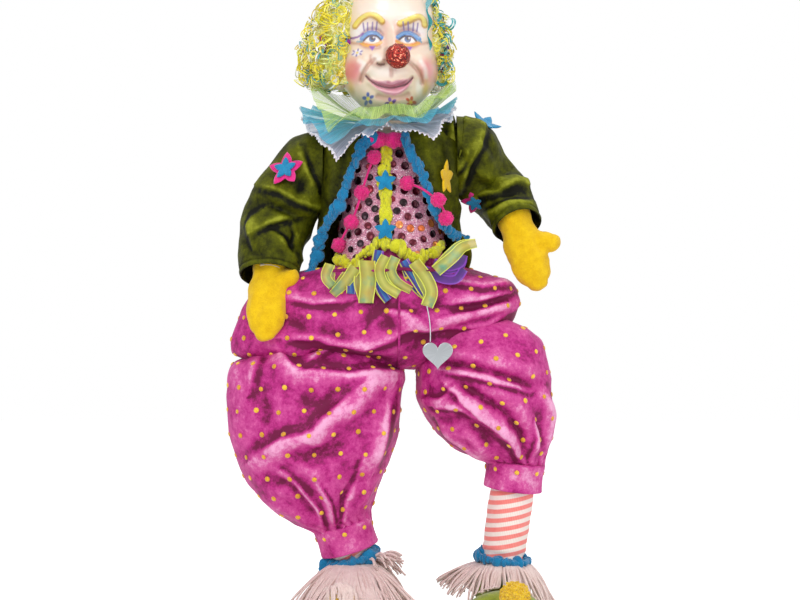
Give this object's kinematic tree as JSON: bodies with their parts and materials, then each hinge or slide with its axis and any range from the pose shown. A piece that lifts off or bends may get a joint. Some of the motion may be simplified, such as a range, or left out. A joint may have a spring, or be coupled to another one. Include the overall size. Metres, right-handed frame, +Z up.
{
  "type": "clown doll",
  "caption": "Stuffed clown doll on a bent-wire armature, with a painted head, net ruffs, velvet jacket and balloon trousers, felt mittens and soft shoes.",
  "frame": {"origin": "middle of the outer box, on the plane that the shoes stand on", "axes": "+Z up through the head; the doll faces -Y, so its own right hand is at -X"},
  "size_m": [0.2944, 0.1777, 0.6],
  "materials": {
    "muslin": "cotton muslin over stuffing",
    "armature_wire": "bare galvanised wire",
    "painted_resin": "cast resin, pearly paint and clear gloss",
    "red_glitter": "coarse red glitter",
    "film_curls": "curled translucent film and ribbon",
    "olive_velvet": "silk velvet, deep pile",
    "sequinned_cloth": "pink glitter cloth with dark sequins",
    "yellow_pom_braid": "knobbly braid",
    "blue_braid": "knobbly braid",
    "blue_felt": "felt",
    "pink_felt": "felt",
    "pink_pompom": "cut yarn pompoms",
    "magenta_velvet": "crushed velvet with gold dots",
    "yellow_felt": "brushed felt",
    "green_tulle": "net",
    "turquoise_tulle": "net",
    "white_lace": "sheer cloth with a lace edge",
    "striped_jersey": "ribbed jersey, coral and white stripes",
    "fringe_yarn": "loose yarn",
    "green_felt": "felt",
    "yellow_pompom": "cut yarn pompom",
    "yellow_organza": "translucent ribbon",
    "violet_ribbon": "satin ribbon",
    "silver_cord": "metallic thread",
    "silver_card": "foil-faced card"
  },
  "bodies": {
    "torso": {"torso_stuffing": "muslin", "armature_spine": "armature_wire", "vest": "sequinned_cloth", "vest_trim": "yellow_pom_braid", "vest_star_upper": "blue_felt", "vest_star_lower": "blue_felt", "collar_bow": "pink_felt", "jacket_body": "olive_velvet", "jacket_trim_right": "blue_braid", "jacket_trim_left": "blue_braid", "pompom_string_right": "pink_pompom", "pompom_string_left": "pink_pompom", "jacket_star": "yellow_felt", "trouser_hip_right": "magenta_velvet", "trouser_hip_left": "magenta_velvet", "waist_ribbon_yellow": "yellow_organza", "waist_ribbon_blue": "violet_ribbon", "ruff_green": "green_tulle", "ruff_turquoise": "turquoise_tulle", "ruff_lace": "white_lace"},
    "head": {"head": "painted_resin", "nose_ball": "red_glitter", "wig": "film_curls"},
    "tag": {"tag_cord": "silver_cord", "heart_tag": "silver_card"},
    "upper_arm_right": {"upper_arm_right": "muslin", "arm_wire_right": "armature_wire", "sleeve_right": "olive_velvet", "sleeve_star_right": "pink_felt"},
    "forearm_right": {"forearm_right": "muslin", "forearm_wire_right": "armature_wire", "mitten_right": "yellow_felt"},
    "upper_arm_left": {"upper_arm_left": "muslin", "arm_wire_left": "armature_wire", "sleeve_left": "olive_velvet", "shoulder_star_left": "blue_felt", "sleeve_star_left": "pink_felt"},
    "forearm_left": {"forearm_left": "muslin", "forearm_wire_left": "armature_wire", "mitten_left": "yellow_felt"},
    "thigh_right": {"thigh_right": "muslin", "thigh_wire_right": "armature_wire", "trouser_leg_right": "magenta_velvet"},
    "shin_right": {"shin_right": "striped_jersey", "shin_wire_right": "armature_wire", "trouser_cuff_right": "magenta_velvet", "ankle_trim_right": "blue_braid", "fringe_right": "fringe_yarn", "shoe_right": "green_felt", "toe_pom_right": "yellow_pompom"},
    "thigh_left": {"thigh_left": "muslin", "thigh_wire_left": "armature_wire", "trouser_leg_left": "magenta_velvet"},
    "shin_left": {"shin_left": "striped_jersey", "shin_wire_left": "armature_wire", "trouser_cuff_left": "magenta_velvet", "ankle_trim_left": "blue_braid", "fringe_left": "fringe_yarn", "shoe_left": "green_felt", "toe_pom_left": "yellow_pompom"}
  },
  "joints": [
    {"name": "neck_turn", "type": "hinge", "parent": "torso", "child": "head", "pos_m": [-0.0041, 0.0209, 0.447], "axis": [0, 0, 1], "range_deg": [-30, 30]},
    {"name": "shoulder_swing_right", "type": "hinge", "parent": "torso", "child": "upper_arm_right", "pos_m": [-0.0721, 0.0209, 0.418], "axis": [-1, 0, 0], "range_deg": [0, 90]},
    {"name": "shoulder_swing_left", "type": "hinge", "parent": "torso", "child": "upper_arm_left", "pos_m": [0.0619, 0.0209, 0.427], "axis": [-1, 0, 0], "range_deg": [-20, 90]},
    {"name": "elbow_bend_right", "type": "hinge", "parent": "upper_arm_right", "child": "forearm_right", "pos_m": [-0.1051, 0.0169, 0.372], "axis": [-1, 0, 0], "range_deg": [-20, 60], "deforming": ["sleeve_right"]},
    {"name": "elbow_bend_left", "type": "hinge", "parent": "upper_arm_left", "child": "forearm_left", "pos_m": [0.0899, 0.0449, 0.397], "axis": [-0.7832, 0.1641, -0.5997], "range_deg": [-65, 8], "deforming": ["sleeve_left"]},
    {"name": "hip_swing_right", "type": "hinge", "parent": "torso", "child": "thigh_right", "pos_m": [-0.0391, 0.0169, 0.25], "axis": [-1, 0, 0], "range_deg": [-10, 80], "deforming": ["trouser_hip_right"]},
    {"name": "hip_swing_left", "type": "hinge", "parent": "torso", "child": "thigh_left", "pos_m": [0.0439, 0.0169, 0.25], "axis": [-1, 0, 0], "range_deg": [-10, 80], "deforming": ["trouser_hip_left"]},
    {"name": "knee_bend_right", "type": "hinge", "parent": "thigh_right", "child": "shin_right", "pos_m": [-0.0641, 0.0109, 0.155], "axis": [1, 0, 0], "range_deg": [0, 70], "deforming": ["trouser_leg_right"]},
    {"name": "knee_bend_left", "type": "hinge", "parent": "thigh_left", "child": "shin_left", "pos_m": [0.1099, 0.0109, 0.165], "axis": [1, 0, 0], "range_deg": [0, 60], "deforming": ["trouser_leg_left"]},
    {"name": "tag_swing", "type": "hinge", "parent": "torso", "child": "tag", "pos_m": [0.0279, -0.0435, 0.2907], "axis": [-1, 0, 0], "range_deg": [-8, 60]}
  ]
}
